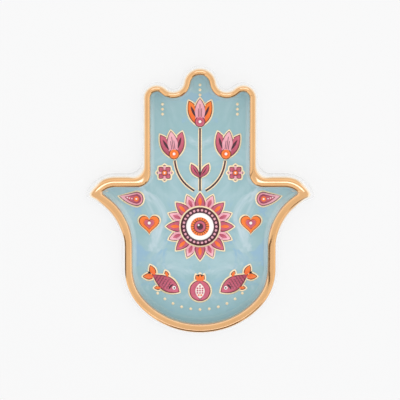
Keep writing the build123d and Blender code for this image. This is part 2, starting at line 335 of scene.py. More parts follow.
clay = dict(deep=(226, 217, 203), pale=(238, 231, 220), clouds=90.0, relief=(1500.0, 4.0, 0.3, 0.0002),
            speck=(190, 172, 150), specks=(2600.0, 2.0), speckEdge=(0.66, 0.72))


# Bare fired clay: matt, grainy, with fine specks
def bareClay():
    material, shader, place = newMaterial("bareClay", clay["relief"], Roughness=0.85)
    body = mixColours(noise(place, clay["clouds"]), clay["deep"], clay["pale"])
    speck = spread(noise(place, *clay["specks"]), *clay["speckEdge"])
    setSockets(shader, Base_Color=mixColours(speck, body, clay["speck"]))
    return material


gold = dict(
    deep=(226, 170, 112), pale=(241, 192, 137), warmth=(75.0, 4.0), relief=(260.0, 4.0, 0.06, 0.0003),
    thin=(255, 244, 222), thinSpan=(0.0, 0.8), thinMetal=0.08, polish=120.0, roughness=(0.07, 0.12),
)


# Gold lustre: brushed on by hand, so its warmth and shine vary along the rim
def goldLustre():
    material, shader, place = newMaterial("goldLustre", gold["relief"], Coat_Weight=0.5, Coat_Roughness=0.08)
    body = mixColours(noise(place, *gold["warmth"]), gold["deep"], gold["pale"])
    # the pale value: where the gold thins at its outer edge, and a painted highlight down the inner wall;
    # both turn pale and less metallic
    thin = pointValue(shader, "thinGold")
    setSockets(shader, Base_Color=mixColours(spread(thin, *gold["thinSpan"]), body, gold["thin"]),
               Metallic=spread(thin, *gold["thinSpan"], 1.0, gold["thinMetal"]),
               Roughness=spread(noise(place, gold["polish"]), 0.3, 0.7, *gold["roughness"]))
    return material


# A wash has a colour, a noise (scale, detail, roughness, distortion) and the noise where it starts and is
# full, an end of the hand a colour, the levels where it starts and is full, and its share
blue = dict(
    # wall is the paler print of the painted light up the cove and beside the wall
    deep=(146, 184, 189), wall=(222, 244, 248), shade=(124, 164, 176), relief=(110.0, 3.0, 0.06, 0.0004),
    washes=(
        ((166, 197, 203), (34.0, 4.0, 0.6, 1.4), (0.35, 0.66)),
        ((192, 212, 219), (22.0, 5.0, 0.62, 3.0), (0.52, 0.70)),
        ((143, 182, 205), (48.0, 3.0, 0.5, 2.0), (0.56, 0.70)),
    ),
    ends=(((138, 178, 184), (-0.030, -0.062), 0.75), ((152, 186, 192), (0.034, 0.064), 0.4)),
)


# Blue print under gloss: a watercolour wash, the same on both sides of the middle, darker around the motifs,
# and painted paler up the cove and beside the wall as painted light against the shade there
def bluePrint():
    coat = dict(Coat_Weight=0.5, Coat_Roughness=0.05)
    material, shader, place = newMaterial("bluePrint", blue["relief"], Roughness=0.16, **coat)
    axes = splitAxes(place)
    mirrored = calculate("ABSOLUTE", axes["X"])
    paper = addNode(place, "CombineXYZ", {"X": mirrored, "Y": axes["Y"], "Z": axes["Z"]}).outputs[0]
    colour = blue["deep"]
    for wash, pattern, edge in blue["washes"]:
        colour = mixColours(spread(noise(paper, *pattern), *edge), colour, wash)
    # painted light: the print turns paler up the cove and beside the wall, against the shade there
    colour = mixColours(pointValue(shader, "paintedWallLight"), colour, blue["wall"])
    for end, levels, share in blue["ends"]:
        colour = mixColours(spread(axes["Y"], *levels, 0.0, share), colour, end)
    setSockets(shader, Base_Color=mixColours(pointValue(shader, "motifShade"), colour, blue["shade"]))
    return material


glazeFinish, clayFinish, goldFinish, blueFinish = whiteGlaze(), bareClay(), goldLustre(), bluePrint()


# Smooth step from 0 at the first number to 1 at the second
def smoothStep(value, begin, end):
    t = np.clip((value - begin) / (end - begin), 0, 1)
    return t * t * (3 - 2 * t)


outline = wallRings(0.0)[0]
outerX, outerY = outline.T
palmShare = smoothStep(outerY, *wall["palmSpan"])


# Angle of the gold's outer edge along the outline: lower on the thumbs but for their tips, raised round the
# palm, more so on its left and less at the heel
def goldEdgeAngles():
    side = abs(outerX)
    edge = wall["goldOuter"] + (wall["palmLift"] - wall["palmSkew"] * outerX / palmHalf) * palmShare
    edge -= wall["heelDrop"] * smoothStep(outerY, wall["heelFrom"], heel)
    edge -= wall["thumbDrop"] * smoothStep(side, *wall["thumbSpan"]) * (1 - palmShare)
    edge += wall["tipLift"] * smoothStep(side, *wall["tipSpan"])
    return np.arcsin((edge - wall["widest"]) / (wall["height"] - wall["widest"]))


# Rim's outer curve, a quarter ellipse, at an angle for each row and column, thinned by a skin
def outerRim(angles, skin, levels=61):
    run = np.linspace(0, 1, levels)
    table = rimRings(wall["crestShare"] * run, skin * (1 - run))
    at = (1 - np.cos(angles)) * (levels - 1)
    below = np.minimum(at.astype(int), levels - 2)
    part = (at - below)[..., None]
    column = np.arange(table.shape[1])
    plan = table[below, column] * (1 - part) + table[below + 1, column] * part
    height = wall["widest"] + (wall["height"] - wall["widest"] - skin) * np.sin(angles)
    return lift(plan, height)


# Rim's inner curve: x to a power plus z to the same power is 1, in even steps of x, then of z. A hyperbola
# slants its top inwards
def innerRim(skin, steps=15):
    power, bend = wall["lipPower"], wall["lipRound"]
    even = np.linspace(0, 0.5 ** (1 / power), steps)
    other = (1 - even ** power) ** (1 / power)
    x, z = np.append(even, other[-2::-1]), np.append(other, even[-2::-1])
    z = z * (1 - wall["lipSlant"] * (np.hypot(x, bend) - bend))
    height = wall["goldInner"] + (wall["height"] - wall["goldInner"] - skin) * z
    return lift(rimRings(wall["crestShare"] + (1 - wall["crestShare"]) * x, -skin * x), height[:, None])


# Outer glaze: the wall rises in a quarter ellipse to its widest level, then a second one leans in to the gold
def buildOuterGlaze():
    wallRun = wall["footInset"] - wall["footShoulder"]

    def skinRows(skin):
        rise = np.linspace(math.pi / 2, 0, 17)
        run = 1 - np.cos(rise)
        foot = lift(wallRings(wall["footInset"]), wall["footHeight"] + skin)
        height = wall["widest"] - (wall["widest"] - wall["footHeight"] - skin) * np.sin(rise)
        low = lift(wallRings(wallRun * run + skin * (1 - run)), height[:, None])
        high = outerRim(goldEdgeAngles() * np.linspace(0, 1, 15)[1:, None], skin)
        return np.concatenate([foot, low, high])

    rows = np.concatenate([skinRows(0.0), skinRows(wall["skin"])[::-1]])
    faces = gridFaces(*rows.shape[:2], True)
    makePiece("whiteWall", rows.reshape(-1, 3), faces, [glazeFinish], "outer_glaze")


# Gold rim: from its outer edge over the crest of the lip and down to its inner edge, as a thin skin
def buildGoldRim():
    edge = goldEdgeAngles()

    def skinRows(skin):
        climb = edge + (math.pi / 2 - edge) * np.linspace(0, 1, 10)[:, None]
        return np.concatenate([outerRim(climb, skin), innerRim(skin)[1:]])

    top = skinRows(0.0)
    travel = np.cumsum(np.linalg.norm(np.diff(top, axis=0, prepend=top[:1]), axis=2), 0)
    fade = wall["goldFade"] + (wall["palmFade"] - wall["goldFade"]) * palmShare
    facing = unit(np.roll(outline, 1, 0) - np.roll(outline, -1, 0))[:, 0]
    # painted highlight: down the inner wall the gold turns pale like its thin edge, save where the wall faces
    # the heel
    full, none = wall["innerHighlightFade"]
    downWall = np.clip((none - travel[-1] + travel) / (none - full), 0, 1)
    inner = wall["paintedInnerHighlight"] * downWall * np.clip(1 - 2 * facing, 0, 1)
    thin = np.maximum(np.clip(1 - travel / fade, 0, 1), inner)
    rows = np.concatenate([top, skinRows(wall["skin"])[::-1]])
    thin = np.concatenate([thin, thin[::-1]])
    makePiece("goldRim", rows.reshape(-1, 3), gridFaces(*rows.shape[:2], True), [goldFinish], "gold_rim",
              values={"thinGold": thin.ravel()})


ground = dict(
    coveReach=2.0, rings=(0, 0.04, 0.1, 0.2, 0.36, 0.6, 0.9, 1.3, 1.75, 2.2), spacing=0.85, ringGap=0.6,
    thickness=0.25,
    paintedCoveLight=1.15, paintedEdgeLight=0.08, edgeReach=6.0,  # painted light: the print is painted paler up the cove and beside it, against the shade there
)
innerEdge = coveRings(0.0)[0]
coveRise = wall["goldInner"] - wall["floor"]


# How far each point lies inside the gold's inner edge, 0 outside it: least distance to the outline's pieces
def insideDepth(points, block=4000):
    first = innerEdge
    step = np.roll(innerEdge, -1, 0) - first
    squared = (step ** 2).sum(1)
    depth = np.empty(len(points))
    for begin in range(0, len(points), block):
        part = points[begin:begin + block, None]
        t = np.clip(((part - first) * step).sum(2) / squared, 0, 1)
        distance = np.sqrt(((part - first - t[..., None] * step) ** 2).sum(2).min(1))
        above = (first[:, 1] > part[..., 1]) != (first[:, 1] + step[:, 1] > part[..., 1])
        rise = np.where(step[:, 1] == 0, 1, step[:, 1])
        cross = first[:, 0] + step[:, 0] * (part[..., 1] - first[:, 1]) / rise
        inside = (above & (part[..., 0] < cross)).sum(1) % 2 == 1
        depth[begin:begin + block] = np.where(inside, distance, 0)
    return depth


# Shares of the cove's quarter ellipse, across and up, 0 and 1 over the flat floor
def coveShares(points):
    x = np.clip(1 - insideDepth(points) / ground["coveReach"], 0, 1)
    return x, np.sqrt(1 - x ** 2)


# Floor height: flat, with a quarter ellipse up to the gold within the cove's reach
def groundHeight(points):
    return wall["floor"] + coveRise * (1 - coveShares(points)[1])


# Painted light on the print, against the cove's shade: 1 less the cosine of the cove's slope, plus a bell
# curve of the distance to the wall
def paintedCoveLight(points):
    x, z = coveShares(points)
    steep = ground["paintedCoveLight"] * (1 - z / np.hypot(z, x * coveRise / ground["coveReach"]))
    beside = ground["paintedEdgeLight"] * np.exp(-(insideDepth(points) / ground["edgeReach"]) ** 2)
    return np.minimum(steep + beside, 1)


# Blue ground: outlines down the cove, then an even mesh of triangles over the floor
def buildGround():
    gap, rings = ground["spacing"], coveRings(ground["rings"])
    count = rings.shape[1]
    rows = np.arange(heel, fingertip, gap * math.sqrt(3) / 2)
    columns = np.arange(-hand["width"] / 2, hand["width"] / 2, gap)
    x = columns + (np.arange(len(rows)) % 2)[:, None] * gap / 2
    field = atXY(x, rows[:, None]).reshape(-1, 2)
    field = field[insideDepth(field) > ground["rings"][-1] + ground["ringGap"] * gap]
    flat = [Vector(point) for point in np.concatenate([rings[-1], field]).tolist()]
    border = [(i, (i + 1) % count) for i in range(count)]
    corners, _, triangles, *_ = geometry.delaunay_2d_cdt(flat, border, [], 1, 1e-5)
    base = (len(rings) - 1) * count
    plan = np.concatenate([rings[:-1].reshape(-1, 2), [tuple(corner) for corner in corners]])
    top = np.column_stack([plan, groundHeight(plan)])
    under = top - [0, 0, ground["thickness"]]
    upper = gridFaces(len(rings), count).tolist() + [[i + base for i in t] for t in triangles]
    lower = [[i + len(top) for i in reversed(face)] for face in upper]
    side = [[i, i + len(top), j + len(top), j] for i, j in border]
    values = {"motifShade": np.tile(motifShade(plan), 2), "paintedWallLight": np.tile(paintedCoveLight(plan), 2)}
    makePiece("blueGround", np.concatenate([top, under]), upper + lower + side, [blueFinish], "blue_ground",
              values=values)


for nodeName, finish in (("bisque_body", clayFinish), ("base_glaze", glazeFinish)):
    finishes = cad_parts[nodeName].data.materials
    finishes.clear()
    finishes.append(finish)

buildOuterGlaze()
buildGoldRim()
print("glaze and gold built")


enamelLook = dict(relief=(1200.0, 2.0, 0.12, 0.0001), mottle=700.0, uneven=0.12)


# Enamel: two shades of one colour, from the value tone, with a slight mottle and gloss
def enamel(name, deep, pale):
    look, coat = enamelLook, dict(Coat_Weight=0.15, Coat_Roughness=0.06)
    material, shader, place = newMaterial(name, look["relief"], Roughness=0.3, **coat)
    mottle = spread(noise(place, look["mottle"]), 0.3, 0.7, -look["uneven"], look["uneven"])
    share = calculate("ADD", pointValue(shader, "tone"), mottle, use_clamp=True)
    setSockets(shader, Base_Color=mixColours(share, deep, pale))
    return material


goldPen = dict(deep=(250, 220, 172), pale=(255, 238, 204), clouds=300.0, polish=500.0, roughness=(0.25, 0.40))


# Gold of the drawn lines: paler and less sharp than the rim's
def goldLine():
    material, shader, place = newMaterial("goldLine", Metallic=0.25)
    body = mixColours(noise(place, goldPen["clouds"]), goldPen["deep"], goldPen["pale"])
    shine = spread(noise(place, goldPen["polish"]), 0.3, 0.7, *goldPen["roughness"])
    setSockets(shader, Base_Color=body, Roughness=shine)
    return material


inks = dict(
    gold=goldLine(),
    wine=enamel("wineInk", (52, 14, 26), (82, 26, 42)),
    rose=enamel("roseInk", (168, 58, 84), (212, 100, 122)),
    pink=enamel("pinkInk", (226, 136, 156), (246, 186, 196)),
    orange=enamel("orangeInk", (238, 92, 12), (252, 128, 34)),
    cream=enamel("creamInk", (244, 228, 218), (255, 250, 246)),
)
inkNames = list(inks)

# How far the two lines round a fill reach past it, and their heights above the ground
edgeLines = dict(gold=(1.15, 0.05), wine=(0.36, 0.09))
layers = dict(fill=0.13, step=0.08, sink=0.15)  # a fill's height, one layer more, the sides' depth


# The parts that a function draws
def drawn(draw, *values):
    art = dict(points=[], faces=[], ink=[], tone=[], count=0)
    draw(art, *values)
    return art


def levelOf(order):
    return layers["fill"] + order * layers["step"]


def addPart(art, points, faces, ink, tone):
    art["points"].append(points)
    art["faces"] += [[i + art["count"] for i in face] for face in faces]
    art["ink"] += [inkNames.index(ink)] * len(faces)
    art["tone"].append(tone)
    art["count"] += len(points)


# Ribbon: a domed strip along a path. Across it the height is level + dome * (1 - s * s), s from -1 to 1
def ribbon(art, path, half, ink, level, dome=0.05, tone=None):
    s = np.linspace(-1, 1, 9)
    along = unit(np.gradient(path, axis=0))
    normal = atXY(-along[:, 1], along[:, 0])
    half = np.broadcast_to(half, len(path))
    plan = path[:, None] + s[:, None] * (half[:, None, None] * normal[:, None])
    top = lift(plan, level + dome * (1 - s ** 2))
    low = top[:, [-1, 0]] * [1, 1, 0] - [0, 0, layers["sink"]]
    rows = np.concatenate([top, low], 1)
    count, across = rows.shape[:2]
    faces = gridFaces(count, across)[:, ::-1].tolist()
    faces += [list(range(across)), [(count - 1) * across + j for j in reversed(range(across))]]
    shade = np.linspace(0, 1, count) if tone is None else np.broadcast_to(tone, count)
    addPart(art, rows.reshape(-1, 3), faces, ink, np.repeat(shade, across))


# Patch: a domed area inside a closed outline. Its points lie at shares r of the way from centre to outline
def patch(art, centre, outline, ink, level, dome=0.06, tones=(0.0, 1.0)):
    r = np.array([0.25, 0.5, 0.72, 0.88, 1.0])
    centre = np.asarray(centre, float)
    plan = centre + r[:, None, None] * (outline - centre)
    rows = lift(plan, (level + dome * (1 - r ** 2))[:, None])
    low = rows[-1:] * [1, 1, 0] - [0, 0, layers["sink"]]
    rows = np.concatenate([rows, low])
    count, around = rows.shape[:2]
    points = np.concatenate([rows.reshape(-1, 3), [[*centre, level + dome]]])
    pole = len(points) - 1
    faces = gridFaces(count, around)[:, ::-1].tolist()
    faces += [[pole, j, (j + 1) % around] for j in range(around)]
    faces.append([(count - 1) * around + j for j in reversed(range(around))])
    shade = np.repeat(np.append(tones[0] + (tones[1] - tones[0]) * r, tones[1]), around)
    addPart(art, points, faces, ink, np.append(shade, tones[0]))


# Outline moved outwards along its normals; outlines run anticlockwise
def grown(outline, reach):
    along = unit(np.roll(outline, -1, 0) - np.roll(outline, 1, 0))
    return outline + reach * atXY(along[:, 1], -along[:, 0])


def polar(radius, angle):
    angle = np.radians(angle)
    return atXY(radius * np.cos(angle), radius * np.sin(angle))


def circle(centre, radius, count):
    return np.asarray(centre) + polar(radius, np.linspace(0, 360, count, endpoint=False))


# A fill with lines round it
def edgedPatch(art, centre, outline, ink, order, edges=edgeLines, dome=0.06, tones=(0.0, 1.0)):
    base = order * layers["step"]
    for edge in edges:
        reach, level = edgeLines[edge]
        patch(art, centre, grown(outline, reach), edge, level + base, 0.0)
    patch(art, centre, outline, ink, levelOf(order), dome, tones)


def disc(art, centre, radius, count, ink, order, **look):
    edgedPatch(art, centre, circle(centre, radius, count), ink, order, **look)


leafShape = dict(tipReach=1.1, fullness=0.8, least=0.03)


# Leaf: its spine turns evenly by bend; its half width is a power of a sine that peaks at the share full
def leafPath(at, turn, length, width, reach=0.0, bend=0.0, full=0.5, count=22):
    t = np.linspace(0, 1, count)
    tip = leafShape["tipReach"] * reach
    run = (length + 2 * tip) / (count - 1)
    heading = np.radians(turn + bend * (t - 0.5))
    steps = run * atXY(-np.sin(heading), np.cos(heading))
    path = np.asarray(at) + np.cumsum(steps, 0) - steps[0] - steps[0] / run * tip
    wave = np.sin(math.pi * t ** (math.log(0.5) / math.log(full)))
    return path, np.maximum((width / 2 + reach) * wave ** leafShape["fullness"], leafShape["least"])


def leaf(art, at, turn, length, width, ink, order=0.0, edges=edgeLines, tone=None, **shape):
    base = order * layers["step"]
    for edge in edges:
        reach, level = edgeLines[edge]
        ribbon(art, *leafPath(at, turn, length, width, reach, **shape), edge, level + base, 0.0)
    ribbon(art, *leafPath(at, turn, length, width, **shape), ink, levelOf(order), 0.08, tone)


def dot(art, centre, radius, ink, order, count=14):
    patch(art, centre, circle(centre, radius, count), ink, levelOf(order), 0.08)


def line(art, path, width, ink, order):
    ribbon(art, path, width / 2, ink, levelOf(order), 0.03)


# Moves a drawing into the dish: turned, placed, and mirrored if wanted
def placed(art, at=(0.0, 0.0), turn=0.0, mirrored=False):
    points = np.concatenate(art["points"])
    c, s = polar(1.0, turn)
    plan = points[:, :2] @ np.array([[c, s], [-s, c]]) + np.asarray(at)
    faces = art["faces"]
    if mirrored:
        plan = plan * [-1, 1]
        faces = [face[::-1] for face in faces]
    return dict(plan=plan, height=points[:, 2], faces=faces, ink=art["ink"], tone=np.concatenate(art["tone"]))


fingerFloor = fingerHalf - wall["fingerRim"] - wall["coveWidth"]
palmFloor = palmHalf - wall["palmRim"] - wall["coveWidth"]
thumbFloor = thumbTop - wall["thumbRim"] - wall["coveWidth"]
sideFloorLength = fingertip - hand["sideDrop"] - wall["fingerRim"] - wall["coveWidth"] - thumbTop
margin = 0.8  # bare ground beside a motif

# In these sizes, leaves, petals and marks have a length and a width, pearls and eyes a place and a radius
medallion = dict(
    height=56.0, radius=18.0, backing=13.2, backingLevel=0.04, petals=16, reach=17.4, petal=(10.8, 5.0),
    markDepth=6.6, mark=(4.6, 1.9), disc=9.8, beads=26, beadRing=8.6, bead=0.62,
)


# Medallion: two rows of pointed petals round a beaded ring
def drawMedallion(art):
    size = medallion
    patch(art, (0, 0), circle((0, 0), size["backing"], 64), "gold", size["backingLevel"], 0.0)
    for i in range(size["petals"]):
        turn = 360.0 * i / size["petals"]
        order, petal, mark = ((1, "rose", "orange"), (0, "pink", "rose"))[i % 2]
        at = polar(size["reach"] - size["petal"][0], turn + 90)
        leaf(art, at, turn, *size["petal"], petal, order, full=0.45)
        at = polar(size["reach"] - size["markDepth"], turn + 90)
        leaf(art, at, turn, *size["mark"], mark, order + 1.2, ["wine"])
    disc(art, (0, 0), size["disc"], 72, "wine", 3, dome=0.0)
    for place in polar(size["beadRing"], np.arange(size["beads"]) * 360 / size["beads"]):
        dot(art, place, size["bead"], "pink", 4, 10)


eye = dict(white=7.2, iris=4.9, rays=20, ray=(3.1, 4.7), rayWidth=0.26, ring=2.9, pupil=1.7,
           glint=((-0.7, 0.8), 0.5))


# Eye: rings of colour round a dark middle, with fine rays in the widest ring
def drawEye(art):
    disc(art, (0, 0), eye["white"], 60, "cream", 3.2, dome=0.1, tones=(0.6, 1.0))
    disc(art, (0, 0), eye["iris"], 48, "orange", 4.2, dome=0.0)
    for angle in np.arange(eye["rays"]) * 360.0 / eye["rays"]:
        line(art, polar(np.linspace(*eye["ray"], 5), angle), eye["rayWidth"], "wine", 5.2)
    disc(art, (0, 0), eye["ring"], 36, "rose", 5.6, edges=["wine"], dome=0.0)
    dot(art, (0, 0), eye["pupil"], "wine", 6.6, 28)
    dot(art, *eye["glint"], "cream", 7.4)


tulip = dict(
    share=0.37, root=0.5, petalWidth=5.6, spread=24.0, lean=8.0, gap=1.6, rise=3.0,
    mark=(6.2, 1.3), markFrom=5.6, lines=((-0.85, 4.4), (0.0, 6.6), (0.85, 4.4)), lineFrom=5.2, lineWidth=0.3,
    cup=((0, 2.6), 2.4), pearl=((0, 2.7), 0.75),
)
tulipLength = tulip["share"] * sideFloorLength


# Tulip: two outer petals, one in front, and a cup with fine lines
def drawTulip(art, outerInk, frontInk, cupInk):
    petal = (tulipLength - 2 * tulip["root"], tulip["petalWidth"])
    for turn in (-tulip["spread"], tulip["spread"]):
        leaf(art, (0, tulip["root"]), turn, *petal, outerInk, full=0.48)
        leaf(art, polar(tulip["markFrom"], 90 + turn), turn, *tulip["mark"], "wine", 1.1, [])
    leaf(art, (0, tulip["root"]), 0, *petal, frontInk, 1.2, full=0.48)
    for x, length in tulip["lines"]:
        path = atXY(x, tulip["lineFrom"] + np.linspace(0, length, 8))
        line(art, path, tulip["lineWidth"], "wine", 2.4)
    disc(art, *tulip["cup"], 32, cupInk, 2.4, edges=["wine"])
    dot(art, *tulip["pearl"], "cream", 3.4)


stem = dict(
    width=0.9, goldReach=0.55, sag=2.4, spacing=3.0, leaf=(8.0, 2.8), leafSpread=68.0, leafHeight=7.0,
    leafBend=24.0, vein=(5.0, 0.5), veinFrom=1.6, veinBend=16.0,
)


def stemLine(art, path):
    half = stem["width"] / 2
    ribbon(art, path, half + stem["goldReach"], "gold", edgeLines["gold"][1], 0.0)
    ribbon(art, path, half, "wine", layers["fill"])


# Middle stem: straight, with two veined leaves
def drawMiddleStem(art, footY, topY):
    stemLine(art, atXY(0, np.linspace(footY, topY, 24)))
    at = (0, footY + stem["leafHeight"])
    for side in (-1, 1):
        turn = side * stem["leafSpread"] / 2
        leaf(art, at, turn, *stem["leaf"], "rose", 1, bend=-side * stem["leafBend"], full=0.55)
        veinAt = at + polar(stem["veinFrom"], 90 + turn)
        leaf(art, veinAt, turn, *stem["vein"], "wine", 2, [], bend=-side * stem["veinBend"])


# Side stem: a parabola from foot to tip, bowed outwards by the sag
def drawSideStem(art, foot, tip):
    foot, tip = np.array(foot), np.array(tip)
    run = tip - foot
    out = atXY(run[1], -run[0]) / np.hypot(*run)
    t = np.linspace(0, 1, 28)[:, None]
    stemLine(art, foot + t * run + 4 * t * (1 - t) * stem["sag"] * out)


star = dict(points=8, root=0.7, petal=(3.1, 2.2), middle=1.2, pearl=0.5, reach=4.2)


# Star: eight pointed petals in two rows round a dotted middle
def drawStar(art):
    for order, ink in ((0, "pink"), (1, "rose")):
        for turn in np.arange(order, star["points"], 2) * 360.0 / star["points"]:
            leaf(art, polar(star["root"], turn + 90), turn, *star["petal"], ink, 1.2 * order, full=0.55)
    disc(art, (0, 0), star["middle"], 24, "orange", 2.6, edges=["wine"])
    dot(art, (0, 0), star["pearl"], "cream", 3.6)


# The heart and its core have a width and a rise
heart = dict(height=58.0, reach=5.6, heart=(10.2, -0.9), middle=(0, -0.6), core=(5.2, -0.7),
             coreMiddle=(0, -0.5), pearl=((0, -0.2), 0.8))


# Heart: the curve x = 16 sin cubed, y = a sum of cosines, scaled from 32 to its width
def heartOutline(width, rise):
    angle = np.linspace(0, 2 * math.pi, 64, endpoint=False)
    x = 16 * np.sin(angle) ** 3
    y = 13 * np.cos(angle) - 5 * np.cos(2 * angle) - 2 * np.cos(3 * angle) - np.cos(4 * angle)
    return (atXY(x, y + 1.5) * width / 32 + [0, rise])[::-1]


def drawHeart(art):
    width, rise = heart["heart"]
    for ink, (reach, level) in edgeLines.items():
        patch(art, heart["middle"], heartOutline(width + 2 * reach, rise), ink, level, 0.0)
    patch(art, heart["middle"], heartOutline(width, rise), "orange", layers["fill"])
    edgedPatch(art, heart["coreMiddle"], heartOutline(*heart["core"]), "rose", 1, ["wine"])
    dot(art, *heart["pearl"], "cream", 2)


# The core and its line have a scale and a reach
paisley = dict(
    head=3.4, reach=8.6, rise=1.6, setback=10.5, drop=4.2, core=(0.66, 0.0), coreLine=(0.68, 0.15),
    middle=1.35, pearl=0.5, seed=0.36, seeds=((2.3, 0.15), (3.6, 0.45), (4.7, 0.8)),
    tailGrowth=1.2, taper=0.9, swell=0.35, least=0.04,
)


# Paisley: a round head and a tail that bends up. Half width: a circle over the head, then a falling power
def drawPaisley(art):
    size = paisley

    def tear(scale, reach):
        head = size["head"] * scale + reach
        tail = size["reach"] * scale + size["tailGrowth"] * reach
        run = -head + np.linspace(0, 1, 34) * (head + tail)
        ahead = np.clip(run / tail, 0, 1)
        cap = np.sqrt(np.maximum(head ** 2 - run ** 2, 0))
        taper = head * (1 - ahead) ** size["taper"] * (1 + size["swell"] * ahead)
        half = np.maximum(np.where(run < 0, cap, taper), size["least"])
        return atXY(run, size["rise"] * scale * ahead ** 2), half

    for ink, (reach, level) in edgeLines.items():
        ribbon(art, *tear(1.0, reach), ink, level, 0.0)
    ribbon(art, *tear(1.0, 0.0), "pink", layers["fill"], 0.08)
    ribbon(art, *tear(*size["coreLine"]), "wine", levelOf(1), 0.0)
    ribbon(art, *tear(*size["core"]), "rose", levelOf(1.5))
    disc(art, (0, 0), size["middle"], 26, "orange", 2, edges=["wine"])
    dot(art, (0, 0), size["pearl"], "cream", 3)
    for place in size["seeds"]:
        dot(art, place, size["seed"], "cream", 2, 10)


# Scales stand in columns (from, to, pitch), under a parabola (height, fall, half length)
fish = dict(
    height=26.0, spacing=36.0, tilt=33.0, body=(16.4, 7.2), tail=(6.0, 2.8), tailRoot=1.4, tailTurn=34.0,
    fin=(3.6, 1.7), finX=0.6, finY=3.0, finTurn=38.0, columns=(-2.4, 6.6, 1.5), rowPitch=1.35, rowShift=0.67,
    scale=0.72, scaleArc=75.0, scaleLine=0.26, scaleMiddle=-0.9, parabola=(2.45, 2.9, 8.0),
    gill=(3.9, 1.0), gillAt=(-3.2, -1.9), gillTurn=8.0, gillBend=60.0,
    eye=((-5.0, 0.4), 0.95), pupil=((-5.1, 0.4), 0.45),
)


# Fish: a leaf-shaped body with rows of scales, a pale eye and a forked tail; its head points to -x
def drawFish(art):
    half = fish["body"][0] / 2
    for side in (-1, 1):
        leaf(art, (half - fish["tailRoot"], 0), side * fish["tailTurn"] - 90, *fish["tail"], "orange")
        leaf(art, (fish["finX"], side * fish["finY"]), side * fish["finTurn"] - 90, *fish["fin"], "orange")
    leaf(art, (half, 0), 90, *fish["body"], "rose", 1.2, full=0.56)
    scale = polar(fish["scale"], np.linspace(-fish["scaleArc"], fish["scaleArc"], 7))
    reach, fall, length = fish["parabola"]
    for column, x in enumerate(np.arange(*fish["columns"])):
        for y in np.arange(-2, 3) * fish["rowPitch"] + column % 2 * fish["rowShift"]:
            if abs(y) < reach - fall * ((x - fish["scaleMiddle"]) / length) ** 2:
                line(art, scale + [x, y], fish["scaleLine"], "wine", 2.4)
    leaf(art, fish["gillAt"], fish["gillTurn"], *fish["gill"], "wine", 2.4, [], bend=fish["gillBend"])
    disc(art, *fish["eye"], 22, "cream", 2.4, edges=["wine"])
    dot(art, *fish["pupil"], "wine", 3.4)


fruit = dict(
    height=22.0, radius=5.2, crown=(4.6, 2.0), crownDepth=1.2, crownSpread=26.0, opening=(8.2, 5.0),
    openFrom=-4.2, seed=0.5, seedPitch=1.3, seedRows=((-2.3, 2), (-1.1, 3), (0.1, 3), (1.3, 3), (2.5, 1)),
)


# Pomegranate: a round fruit with a pointed crown, opened to show rows of seeds
def drawPomegranate(art):
    at = (0, fruit["radius"] - fruit["crownDepth"])
    for i in (-1, 1, 0):
        leaf(art, at, i * fruit["crownSpread"], *fruit["crown"], "orange")
    disc(art, (0, 0), fruit["radius"], 48, "rose", 1, dome=0.12)
    leaf(art, (0, fruit["openFrom"]), 0, *fruit["opening"], "cream", 2.2, ["wine"], 0.3)
    for y, count in fruit["seedRows"]:
        for x in (np.arange(count) - (count - 1) / 2) * fruit["seedPitch"]:
            dot(art, (x, y), fruit["seed"], "orange" if count == 2 else "rose", 3.2, 10)


dots = dict(radius=0.75, level=0.08, dome=0.22, reach=0.8, heelInset=12.0, heelCount=11, heelPitch=8.5,
            rowCount=3, rowPitch=2.6, middleDrop=10.0, sideDrop=20.0, sideGap=4.0)


def drawDots(art, places):
    for place in places:
        patch(art, place, circle(place, dots["radius"], 18), "gold", dots["level"], dots["dome"])


heelTurns = (np.arange(dots["heelCount"]) - (dots["heelCount"] - 1) / 2) * dots["heelPitch"]
heelPlaces = heelCentre + polar(heelRadius - dots["heelInset"], heelTurns - 90)
rowX = fingerFloor - dots["sideGap"]
rowStarts = ((-rowX, dots["sideDrop"]), (0.0, dots["middleDrop"]), (rowX, dots["sideDrop"]))
rowSteps = np.arange(dots["rowCount"]) * dots["rowPitch"]
fingerPlaces = [(x, fingertip - drop - step) for x, drop in rowStarts for step in rowSteps]

medallionY = heel + medallion["height"]
stemFoot = medallionY + medallion["radius"] + margin
middleTulipY = fingertip - dots["middleDrop"] - rowSteps[-1] - dots["reach"] - margin - tulipLength
tulipHalf = tulipLength * math.sin(math.radians(tulip["spread"] + tulip["lean"])) + margin
sideTulip = (fingerFloor - tulip["gap"] - tulipHalf, thumbTop + star["reach"] + tulip["rise"])
stemEnds = (stem["spacing"], stemFoot), (sideTulip[0], sideTulip[1] - margin)
starPlace = (fingerFloor - margin - star["reach"], thumbTop)
heartPlace = (palmFloor - margin - heart["reach"], heel + heart["height"])
paisleyPlace = (overCentre[0] - paisley["setback"], thumbFloor - margin - paisley["drop"])
fishPlace = (fish["spacing"] / 2, heel + fish["height"])

